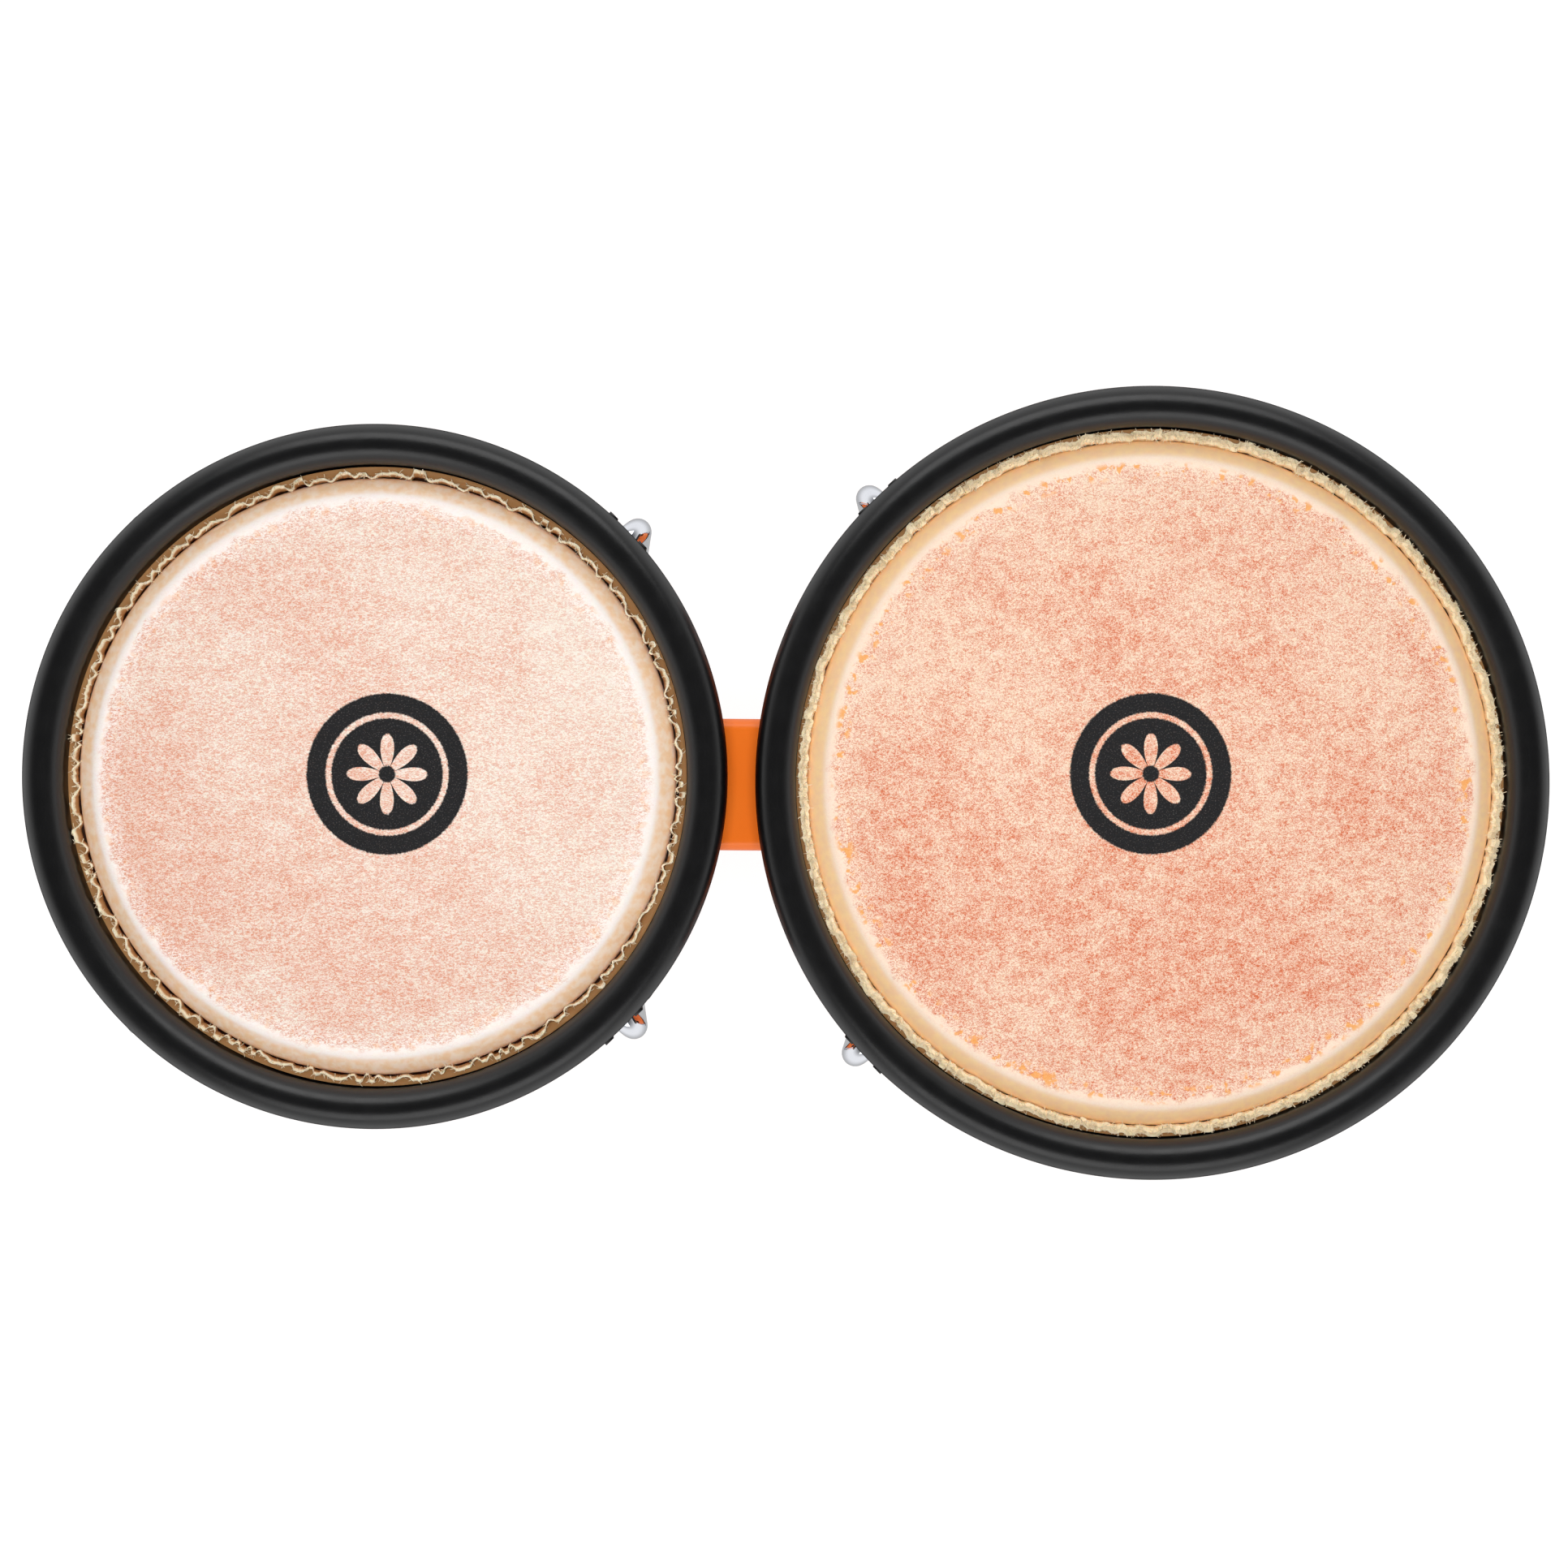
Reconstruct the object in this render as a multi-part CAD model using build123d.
"""Pair of bongo drums, built piece by piece.

Frame: X runs from the small drum to the large drum, Y is across, Z is up, and Z = 0 is the floor.
Every length is in millimetres. Both drums share one section, so a drum is described by its own shell
radii and everything else is an offset from the shell's top radius.
"""

import os
from math import cos, radians, sin

from build123d import *

os.makedirs("parts", exist_ok=True)

# ---- driving dimensions ----------------------------------------------------------------------------

CENTRE_GAP = 222.4  # between the two drum axes
OVERHANG = 18.35  # rim's outer radius beyond the shell's top radius
BEAD_R = 5.85  # half width of the rolled bead on top of the rim
CROWN_Z = 168.0  # highest point of the rim
HEAD_Z = 162.0  # playing surface
SKIN_T = 1.0  # rawhide thickness
SHEET_T = 2.5  # steel sheet of rims and bottom rings

SHELL_T = 6.0  # moulded shell wall
SHELL_BOTTOM_Z = 4.0
EDGE_R = 4.0  # rounding of the bearing edge
GAP = 0.05  # assembly gap between fixed pieces
HAIR = 0.01  # gap between faces that would otherwise touch
CUT_MORE = 1.0  # how far a cutting shape reaches past the piece that it cuts
SKIN_GAP = 0.1  # between the skin and the steel it is pulled by

HOOP_OFFSET = 6.45  # flesh hoop centre beyond the shell's top radius
HOOP_R = 3.2
HOOP_Z = 152.0
COLLAR_H = 12.0  # skin from the playing surface down along the shell
CUT_EDGE_LOW, CUT_EDGE_HIGH = 2.7, 7.0  # ends of the skin's cut edge above the hoop's centre
BRIDGE_LOW, BRIDGE_HIGH = 2.0, 0.2  # skin between collar and tuck, below the hoop's centre

SHELF_T = 2.0  # part of the rim that presses on the hoop
SKIRT_GAP = 0.35  # between the tucked skin and the rim's skirt
CURL_GAP = 0.6  # between the bead's edge and the skirt

LUG_COUNT = 4
ROD_R = 3.95
ROD_OFFSET = 21.0  # rod centre beyond the shell's top radius, where the hook starts
ROD_TILT = radians(5.5)  # rods lean in towards the narrower bottom of the shell
HOOK_Z = 131.0  # height at which the hook's bend starts
HOOK_R = 6.0  # bend radius of the hook, on its centre line
HOOK_TIP = 9.0  # straight end of the hook beyond the bend
ROD_END_Z = 6.5  # lowest point of a rod

EAR_HALF_GAP = 4.4  # half the slot that the hook drops into
EAR_PLATE = 3.0
EAR_BELOW = 10.0  # bracket web below the hook's bend centre
EAR_WEB_TOP = 0.25  # bracket web above the hook's bend centre, where its rounding starts
CHEEK_IN_TOP, CHEEK_IN_LOW = 5.0, 2.6  # cheek's inner corners beyond the hook's bend centre
CHEEK_GAP = 0.4  # between cheek and bead

RING_LOW_Z, RING_HIGH_Z = 14.0, 34.0
LUG_PLATE_Z = 30.0  # where a rod passes through its bottom lug
LUG_PLATE_T = 4.0
LUG_END_R = 9.0
LUG_REACH = 40.0  # lug before it is cut to the bottom ring
GUSSET_OUT, GUSSET_FOOT, GUSSET_H = 8.0, 20.0, 13.0
ROD_HOLE_R = ROD_R + 0.1
ROD_CHAMFER, TIP_ROUND = 0.8, 1.5

WASHER_R, WASHER_T = 8.0, 1.6
NUT_FLATS, NUT_H = 13.0, 10.0
NUT_BORE_R = ROD_R + GAP
NUT_CHAMFER, NUT_CHAMFER_H = 1.0, 0.6
NUT_GAP = 0.02  # between washer and nut

FOOT_T, FOOT_HIGH_Z = 2.5, 10.0
FOOT_ROUND = 1.0
FOOT_FLARE = 0.1  # the channel opens by this much per mm, with the taper of the shell

BLOCK_WIDTH = 38.8
BLOCK_Y = -1.5  # the block sits a little off the line through the drum axes
BLOCK_LOW_Z, BLOCK_HIGH_Z = 52.0, 140.0
BLOCK_FILLET = 3.3
BLOCK_WALL = 4.0
BLOCK_END_WALL = 9.0
BLOCK_RIB = 3.0

BOLT_R, BOLT_HEAD_R, BOLT_HEAD_H = 3.0, 6.5, 4.5
BOLT_HOLE_R = 3.4
BOLT_ZS = (76.0, 116.0)
INSERT_R, INSERT_LENGTH = 4.6, 7.0
SADDLE_T = 6.0  # at the middle of the saddle plate
SADDLE_WIDTH, SADDLE_MARGIN = 28.0, 15.0
SADDLE_ROUND = 5.0
SADDLE_BLANK = 20.0  # thickness of the plate before its back is cut to the shell
INSERT_SUNK = 1.2  # insert's end below the block's face
BOLT_END_GAP = 0.5  # bolt's end short of its insert's end
BOLT_HEAD_ROUND = 1.5
SOCKET_FLATS, SOCKET_DEPTH = 5.0, 2.5

# drum name: axis X, shell radius at the top, shell radius at the bottom, turn of its lugs in degrees
SMALL_TOP_R, LARGE_TOP_R = 82.55, 95.25
AXIS_X = -(CENTRE_GAP + LARGE_TOP_R - SMALL_TOP_R) / 2  # puts the middle of the outline at X = 0
DRUMS = {
    "small": (AXIS_X, SMALL_TOP_R, 70.0, 0.0),
    "large": (AXIS_X + CENTRE_GAP, LARGE_TOP_R, 81.0, -1.0),
}
SHELL_TOP_Z = HEAD_Z - SKIN_T
BEAD_Z = CROWN_Z - BEAD_R


# ---- helpers ---------------------------------------------------------------------------------------


def ring(points):
    """Solid of revolution about Z from an outline of (radius, height) points."""
    outline = Polyline(*[(r, 0, z) for r, z in points], close=True)
    return revolve(make_face(outline), Axis.Z)


def band(r_in, r_out, z_low, z_high):
    """Plain ring with a rectangular section."""
    return ring([(r_in, z_low), (r_out, z_low), (r_out, z_high), (r_in, z_high)])


def torus(centre_r, centre_z, section_r):
    """Ring with a round section."""
    return Pos(0, 0, centre_z) * Torus(centre_r, section_r)


def shell_radius(top_r, bottom_r, z):
    """Radius of the shell's outer face at height z."""
    slope = (top_r - bottom_r) / (SHELL_TOP_Z - SHELL_BOTTOM_Z)
    return bottom_r + slope * (z - SHELL_BOTTOM_Z)


def cone(top_r, bottom_r, offset, z_low, z_high):
    """Solid cone that follows the shell's outer face, pushed out by offset."""
    low = shell_radius(top_r, bottom_r, z_low) + offset
    high = shell_radius(top_r, bottom_r, z_high) + offset
    return ring([(0, z_low), (low, z_low), (high, z_high), (0, z_high)])


def lug_angles(twist):
    """Directions of a drum's lugs seen from above, in degrees from +X."""
    return [45.0 + twist + i * 360.0 / LUG_COUNT for i in range(LUG_COUNT)]


def rod_plane(top_r, angle):
    """Local frame of a rod: origin where its hook starts, z up along the rod, x outwards."""
    out = Vector(cos(radians(angle)), sin(radians(angle)), 0)
    up = Vector(0, 0, 1)
    origin = out * (top_r + ROD_OFFSET) + up * HOOK_Z
    x_dir = out * cos(ROD_TILT) - up * sin(ROD_TILT)
    z_dir = out * sin(ROD_TILT) + up * cos(ROD_TILT)
    return Plane(origin=origin, x_dir=x_dir, z_dir=z_dir)


def along_rod(z):
    """Local height on a rod of the point that stands at height z above the floor."""
    return (z - HOOK_Z) / cos(ROD_TILT)


# ---- one drum --------------------------------------------------------------------------------------


def make_shell(top_r, bottom_r):
    """Tapered open tube with a rounded bearing edge."""
    wall = ring(
        [
            (bottom_r - SHELL_T, SHELL_BOTTOM_Z),
            (bottom_r, SHELL_BOTTOM_Z),
            (top_r, SHELL_TOP_Z),
            (top_r - SHELL_T, SHELL_TOP_Z),
        ]
    )
    rims = wall.edges().filter_by(GeomType.CIRCLE).group_by(Axis.Z)[-1].sort_by(SortBy.RADIUS)
    wall = fillet(rims[-1], EDGE_R)
    inner = wall.edges().filter_by(GeomType.CIRCLE).group_by(Axis.Z)[-1].sort_by(SortBy.RADIUS)[0]
    return fillet(inner, SHELL_T - EDGE_R - GAP * 4)


def make_foot_ring(bottom_r):
    """Rubber channel pushed onto the shell's bottom edge."""
    outer = bottom_r + FOOT_T
    inner = bottom_r - SHELL_T - FOOT_T
    channel = band(inner, outer, 0, FOOT_HIGH_Z)
    channel = fillet(channel.edges().group_by(Axis.Z)[0], FOOT_ROUND)
    wall_out = (FOOT_HIGH_Z - SHELL_BOTTOM_Z) * FOOT_FLARE + GAP
    slot = ring(
        [
            (bottom_r - SHELL_T - GAP, SHELL_BOTTOM_Z),
            (bottom_r + GAP, SHELL_BOTTOM_Z),
            (bottom_r + wall_out, FOOT_HIGH_Z + CUT_MORE),
            (bottom_r - SHELL_T - GAP, FOOT_HIGH_Z + CUT_MORE),
        ]
    )
    return channel - slot


def make_head(top_r):
    """Skin: disc, rounded edge, collar, the tuck around the flesh hoop and the cut edge."""
    to_top = (Align.CENTER, Align.CENTER, Align.MAX)
    outer = Pos(0, 0, HEAD_Z) * Cylinder(top_r + SKIN_T + GAP, COLLAR_H, align=to_top)
    outer = fillet(outer.edges().group_by(Axis.Z)[-1], EDGE_R + SKIN_T)
    inner = Pos(0, 0, SHELL_TOP_Z) * Cylinder(top_r + GAP, COLLAR_H, align=to_top)
    inner = fillet(inner.edges().group_by(Axis.Z)[-1], EDGE_R)
    hoop_r = top_r + HOOP_OFFSET
    tuck_r = HOOP_R + GAP + SKIN_T
    tuck = torus(hoop_r, HOOP_Z, tuck_r) - torus(hoop_r, HOOP_Z, HOOP_R + GAP)
    cut_edge_r = hoop_r - HOOP_R * 0.9
    tuck -= band(hoop_r - tuck_r - CUT_MORE, cut_edge_r, HOOP_Z + 0.6, HOOP_Z + tuck_r + CUT_MORE)
    bridge = band(top_r + GAP, hoop_r - HOOP_R - GAP * 3, HOOP_Z - BRIDGE_LOW, HOOP_Z - BRIDGE_HIGH)
    cut_edge_r += GAP
    cut_edge = band(cut_edge_r, cut_edge_r + SKIN_T, HOOP_Z + CUT_EDGE_LOW, HOOP_Z + CUT_EDGE_HIGH)
    return (outer - inner) + tuck + bridge + cut_edge


def make_flesh_hoop(top_r):
    """Steel wire hoop that the skin is tucked around."""
    return torus(top_r + HOOP_OFFSET, HOOP_Z, HOOP_R)


def rim_faces(top_r):
    """Radii of the rim's inner face, of its skirt's inner face and of its skirt's outer face."""
    inner = top_r + OVERHANG - 2 * BEAD_R
    skirt_in = top_r + HOOP_OFFSET + HOOP_R + SKIN_T + GAP + SKIRT_GAP
    return inner, skirt_in, skirt_in + SHEET_T


def make_rim(top_r):
    """Counter hoop of one folded sheet: skirt, shelf over the flesh hoop, wall and rolled bead."""
    inner, skirt_in, skirt_out = rim_faces(top_r)
    bead_r = top_r + OVERHANG - BEAD_R
    shelf_z = HOOP_Z + HOOP_R + GAP + SKIN_T + SKIN_GAP
    roll = torus(bead_r, BEAD_Z, BEAD_R) - torus(bead_r, BEAD_Z, BEAD_R - SHEET_T)
    curl_end_r = skirt_out + CURL_GAP
    roll -= band(inner - CUT_MORE, curl_end_r, BEAD_Z - BEAD_R - CUT_MORE, BEAD_Z)
    wall = band(inner, inner + SHEET_T, shelf_z, BEAD_Z)
    shelf = band(inner, skirt_out, shelf_z, shelf_z + SHELF_T)
    skirt = band(skirt_in, skirt_out, HOOP_Z - HOOP_R, shelf_z + SHELF_T)
    return roll + wall + shelf + skirt


def make_rim_lug(top_r, angle):
    """Bracket under the rim: two cheeks with a rounded web between them for the hook to hang on."""
    plane = rod_plane(top_r, angle)
    web_half = EAR_HALF_GAP + EAR_PLATE
    half_t = EAR_PLATE / 2
    web = Pos(-HOOK_R, 0, EAR_WEB_TOP) * Box(
        EAR_PLATE, 2 * web_half, EAR_BELOW + EAR_WEB_TOP, align=(Align.CENTER, Align.CENTER, Align.MAX)
    )
    web += Pos(-HOOK_R, 0, EAR_WEB_TOP) * Rot(90, 0, 0) * Cylinder(half_t, 2 * web_half)
    cheek_top = BEAD_Z - BEAD_R - CHEEK_GAP - HOOK_Z
    skirt_low = HOOP_Z - HOOP_R - HOOK_Z
    outline = Polyline(
        (-HOOK_R - half_t, 0, -EAR_BELOW),
        (-HOOK_R + half_t, 0, -EAR_BELOW),
        (-HOOK_R + half_t, 0, cheek_top),
        (-HOOK_R - CHEEK_IN_TOP, 0, cheek_top),
        (-HOOK_R - CHEEK_IN_LOW, 0, skirt_low - 2.0),
        close=True,
    )
    cheek = extrude(make_face(outline), EAR_PLATE, dir=(0, 1, 0))
    lug = web + Pos(0, EAR_HALF_GAP, 0) * cheek + Pos(0, -web_half, 0) * cheek
    lug = plane.location * lug
    skirt_out = rim_faces(top_r)[2]
    return lug - band(skirt_out - COLLAR_H, skirt_out + HAIR, HOOP_Z - HOOP_R - CUT_MORE, CROWN_Z)


def make_tension_rod():
    """Hooked rod in its own frame: straight shank, half-round hook and short tip."""
    length = -along_rod(ROD_END_Z)
    to_top = (Align.CENTER, Align.CENTER, Align.MAX)
    shank = Cylinder(ROD_R, length, align=to_top)
    shank = chamfer(shank.edges().group_by(Axis.Z)[0], ROD_CHAMFER)
    tip = Pos(-2 * HOOK_R, 0, 0) * Cylinder(ROD_R, HOOK_TIP, align=to_top)
    tip = fillet(tip.edges().group_by(Axis.Z)[0], TIP_ROUND)
    section = Plane.XY * Circle(ROD_R)
    bend = revolve(section, Axis((-HOOK_R, 0, 0), (0, 1, 0)), -180)
    return shank + bend + tip


def make_bottom_ring(top_r, bottom_r):
    """Steel band wedged on the taper of the shell."""
    outer = cone(top_r, bottom_r, SHEET_T + GAP, RING_LOW_Z, RING_HIGH_Z)
    return outer - cone(top_r, bottom_r, GAP, RING_LOW_Z - CUT_MORE, RING_HIGH_Z + CUT_MORE)


def make_bottom_lug(top_r, bottom_r, angle):
    """Plate that a rod passes through, with a gusset under each edge, welded to the bottom ring."""
    plane = rod_plane(top_r, angle)
    plate_z = along_rod(LUG_PLATE_Z)
    plate = Pos(-LUG_REACH / 2, 0, plate_z) * Box(LUG_REACH, 2 * LUG_END_R, LUG_PLATE_T)
    plate += Pos(0, 0, plate_z) * Cylinder(LUG_END_R, LUG_PLATE_T)
    outline = Polyline(
        (-LUG_REACH, 0, plate_z),
        (-GUSSET_OUT, 0, plate_z),
        (-GUSSET_FOOT, 0, plate_z - GUSSET_H),
        (-LUG_REACH, 0, plate_z - GUSSET_H),
        close=True,
    )
    gusset = extrude(make_face(outline), EAR_PLATE, dir=(0, 1, 0))
    lug = plate + Pos(0, LUG_END_R - EAR_PLATE, 0) * gusset + Pos(0, -LUG_END_R, 0) * gusset
    lug -= Pos(0, 0, plate_z) * Cylinder(ROD_HOLE_R, 3 * LUG_PLATE_T)
    lug = plane.location * lug
    return lug - cone(top_r, bottom_r, SHEET_T + GAP + HAIR, 0, HOOK_Z)


def under_lug():
    """Local height of the bottom lug plate's lower face."""
    return along_rod(LUG_PLATE_Z) - LUG_PLATE_T / 2


def make_washer():
    """Flat washer between a lug plate and its nut, in the rod's frame."""
    to_top = (Align.CENTER, Align.CENTER, Align.MAX)
    disc = Cylinder(WASHER_R, WASHER_T, align=to_top) - Cylinder(ROD_HOLE_R, 3 * WASHER_T)
    return Pos(0, 0, under_lug() - HAIR) * disc


def make_tuning_nut():
    """Tall hexagon nut in the rod's frame, chamfered at both ends."""
    to_top = (Align.CENTER, Align.CENTER, Align.MAX)
    hexagon = RegularPolygon(NUT_FLATS / 2, 6, major_radius=False)
    nut = extrude(hexagon, -NUT_H)
    corner_r = NUT_FLATS / 2 / cos(radians(30))
    trim = Cylinder(corner_r, NUT_H, align=to_top)
    trim = chamfer(trim.edges().filter_by(GeomType.CIRCLE), length=NUT_CHAMFER_H, length2=NUT_CHAMFER)
    nut = nut & trim
    nut -= Cylinder(NUT_BORE_R, 3 * NUT_H)
    return Pos(0, 0, under_lug() - WASHER_T - HAIR - NUT_GAP) * nut


# ---- block between the drums -----------------------------------------------------------------------


def make_block():
    """Hollow moulding, open below, whose ends are saddles on the two shells."""
    low, high = BLOCK_LOW_Z, BLOCK_HIGH_Z
    (small_x, small_top, small_bottom, _), (large_x, large_top, large_bottom, _) = DRUMS.values()
    middle_x = (small_x + large_x) / 2

    def between(offset, z_low, z_high):
        body = Pos(middle_x, BLOCK_Y, z_low) * Box(
            CENTRE_GAP,
            BLOCK_WIDTH - 2 * offset,
            z_high - z_low,
            align=(Align.CENTER, Align.CENTER, Align.MIN),
        )
        return body

    def saddles(offset):
        small = Pos(small_x, 0, 0) * cone(small_top, small_bottom, offset, SHELL_BOTTOM_Z, SHELL_TOP_Z)
        large = Pos(large_x, 0, 0) * cone(large_top, large_bottom, offset, SHELL_BOTTOM_Z, SHELL_TOP_Z)
        return small, large

    block = between(0, low, high)
    long_edges = block.edges().filter_by(Axis.X)
    block = fillet(long_edges, BLOCK_FILLET)
    for saddle in saddles(GAP):
        block -= saddle
    pocket = between(BLOCK_WALL, low - CUT_MORE, high - BLOCK_WALL)
    for saddle in saddles(BLOCK_END_WALL):
        pocket -= saddle
    rib_x = (small_x + small_top + large_x - large_top) / 2
    pocket -= Pos(rib_x, BLOCK_Y, (low + high) / 2) * Box(BLOCK_RIB, BLOCK_WIDTH, high)
    block -= pocket
    for x, top_r, bottom_r, side in block_ends():
        for z in BOLT_ZS:
            depth = shell_radius(top_r, bottom_r, z) + INSERT_LENGTH + 2 * GAP
            hole = Pos(x, BLOCK_Y, z) * Rot(0, 90 * side, 0) * Cylinder(
                INSERT_R + GAP, depth, align=(Align.CENTER, Align.CENTER, Align.MIN)
            )
            block -= hole
    return block


def block_ends():
    """Axis X, shell radii and the direction (+1 or -1) towards the block, for each drum."""
    (small_x, small_top, small_bottom, _), (large_x, large_top, large_bottom, _) = DRUMS.values()
    return [(small_x, small_top, small_bottom, 1), (large_x, large_top, large_bottom, -1)]


def rod_along_x(x, z, side, radius, start, end):
    """Cylinder along X at the block's bolt line, from start to end away from a drum's axis."""
    return (
        Pos(x + side * start, BLOCK_Y, z)
        * Rot(0, 90 * side, 0)
        * Cylinder(radius, end - start, align=(Align.CENTER, Align.CENTER, Align.MIN))
    )


def make_inserts():
    """Threaded brass inserts moulded into the ends of the block."""
    inserts = []
    for x, top_r, bottom_r, side in block_ends():
        for z in BOLT_ZS:
            face = shell_radius(top_r, bottom_r, z) + INSERT_SUNK
            end = shell_radius(top_r, bottom_r, z) + INSERT_LENGTH
            sleeve = rod_along_x(x, z, side, INSERT_R, face, end)
            inserts.append(sleeve - rod_along_x(x, z, side, BOLT_R + GAP, face - CUT_MORE, end + CUT_MORE))
    return Compound(children=inserts)


def saddle_face(top_r, bottom_r):
    """Distance from a drum's axis to the flat face of its saddle plate."""
    middle_z = sum(BOLT_ZS) / 2
    return shell_radius(top_r, bottom_r, middle_z) - SHELL_T - SADDLE_T


def make_saddle(x, top_r, bottom_r, side):
    """Plate inside the shell: flat face for the bolt heads, curved face on the shell's wall."""
    face = saddle_face(top_r, bottom_r)
    z_low, z_high = BOLT_ZS[0] - SADDLE_MARGIN, BOLT_ZS[1] + SADDLE_MARGIN
    middle = Pos(x + side * (face + SADDLE_BLANK / 2), BLOCK_Y, (z_low + z_high) / 2)
    body = middle * Box(SADDLE_BLANK, SADDLE_WIDTH, z_high - z_low)
    body = fillet(body.edges().filter_by(Axis.X), SADDLE_ROUND)
    plate = body & (Pos(x, 0, 0) * cone(top_r, bottom_r, -SHELL_T - GAP, SHELL_BOTTOM_Z, SHELL_TOP_Z))
    for z in BOLT_ZS:
        plate -= rod_along_x(x, z, side, BOLT_HOLE_R, face - CUT_MORE, face + SADDLE_BLANK)
    return plate


def make_block_bolts(x, top_r, bottom_r, side):
    """Hexagon-socket bolts from inside the shell, through saddle and wall into the inserts."""
    face = saddle_face(top_r, bottom_r) - GAP
    bolts = []
    for z in BOLT_ZS:
        end = shell_radius(top_r, bottom_r, z) + INSERT_LENGTH - BOLT_END_GAP
        head = rod_along_x(x, z, side, BOLT_HEAD_R, face - BOLT_HEAD_H, face)
        outer_edge = head.edges().filter_by(GeomType.CIRCLE).sort_by(Axis.X)[0 if side > 0 else -1]
        head = fillet(outer_edge, BOLT_HEAD_ROUND)
        socket = Pos(x + side * (face - BOLT_HEAD_H), BLOCK_Y, z) * Rot(0, 90 * side, 0) * extrude(
            RegularPolygon(SOCKET_FLATS / 2, 6, major_radius=False), SOCKET_DEPTH
        )
        bolts.append(head + rod_along_x(x, z, side, BOLT_R, face - 0.5, end) - socket)
    return Compound(children=bolts)


# ---- write every piece -----------------------------------------------------------------------------


def write(node, shape):
    """Write one piece as a STEP file."""
    export_step(shape, f"parts/{node}.step")
    print(node, round(shape.volume / 1000, 2), "cm3")


write("center_block", make_block())
write("block_inserts", make_inserts())

for (name, (x, top_r, bottom_r, twist)), end in zip(DRUMS.items(), block_ends(), strict=True):
    here = Pos(x, 0, 0)
    side = end[3]
    shell = here * make_shell(top_r, bottom_r)
    for z in BOLT_ZS:
        shell -= rod_along_x(x, z, side, BOLT_HOLE_R, bottom_r - 2 * SHELL_T, top_r + SHELL_T)
    write(f"{name}_shell", shell)
    write(f"{name}_foot_ring", here * make_foot_ring(bottom_r))
    write(f"{name}_head", here * make_head(top_r))
    write(f"{name}_flesh_hoop", here * make_flesh_hoop(top_r))
    write(f"{name}_rim", here * make_rim(top_r))
    write(f"{name}_bottom_ring", here * make_bottom_ring(top_r, bottom_r))
    write(f"{name}_saddle_plate", make_saddle(x, top_r, bottom_r, side))
    write(f"{name}_block_bolts", make_block_bolts(x, top_r, bottom_r, side))
    rod, washer, nut = make_tension_rod(), make_washer(), make_tuning_nut()
    rim_lugs, bottom_lugs, washers = [], [], []
    for number, angle in enumerate(lug_angles(twist), start=1):
        at_rod = here * rod_plane(top_r, angle).location
        rim_lugs.append(here * make_rim_lug(top_r, angle))
        bottom_lugs.append(here * make_bottom_lug(top_r, bottom_r, angle))
        washers.append(at_rod * washer)
        write(f"{name}_tension_rod_{number}", at_rod * rod)
        write(f"{name}_tuning_nut_{number}", at_rod * nut)
    write(f"{name}_rim_lugs", Compound(children=rim_lugs))
    write(f"{name}_bottom_lugs", Compound(children=bottom_lugs))
    write(f"{name}_washers", Compound(children=washers))
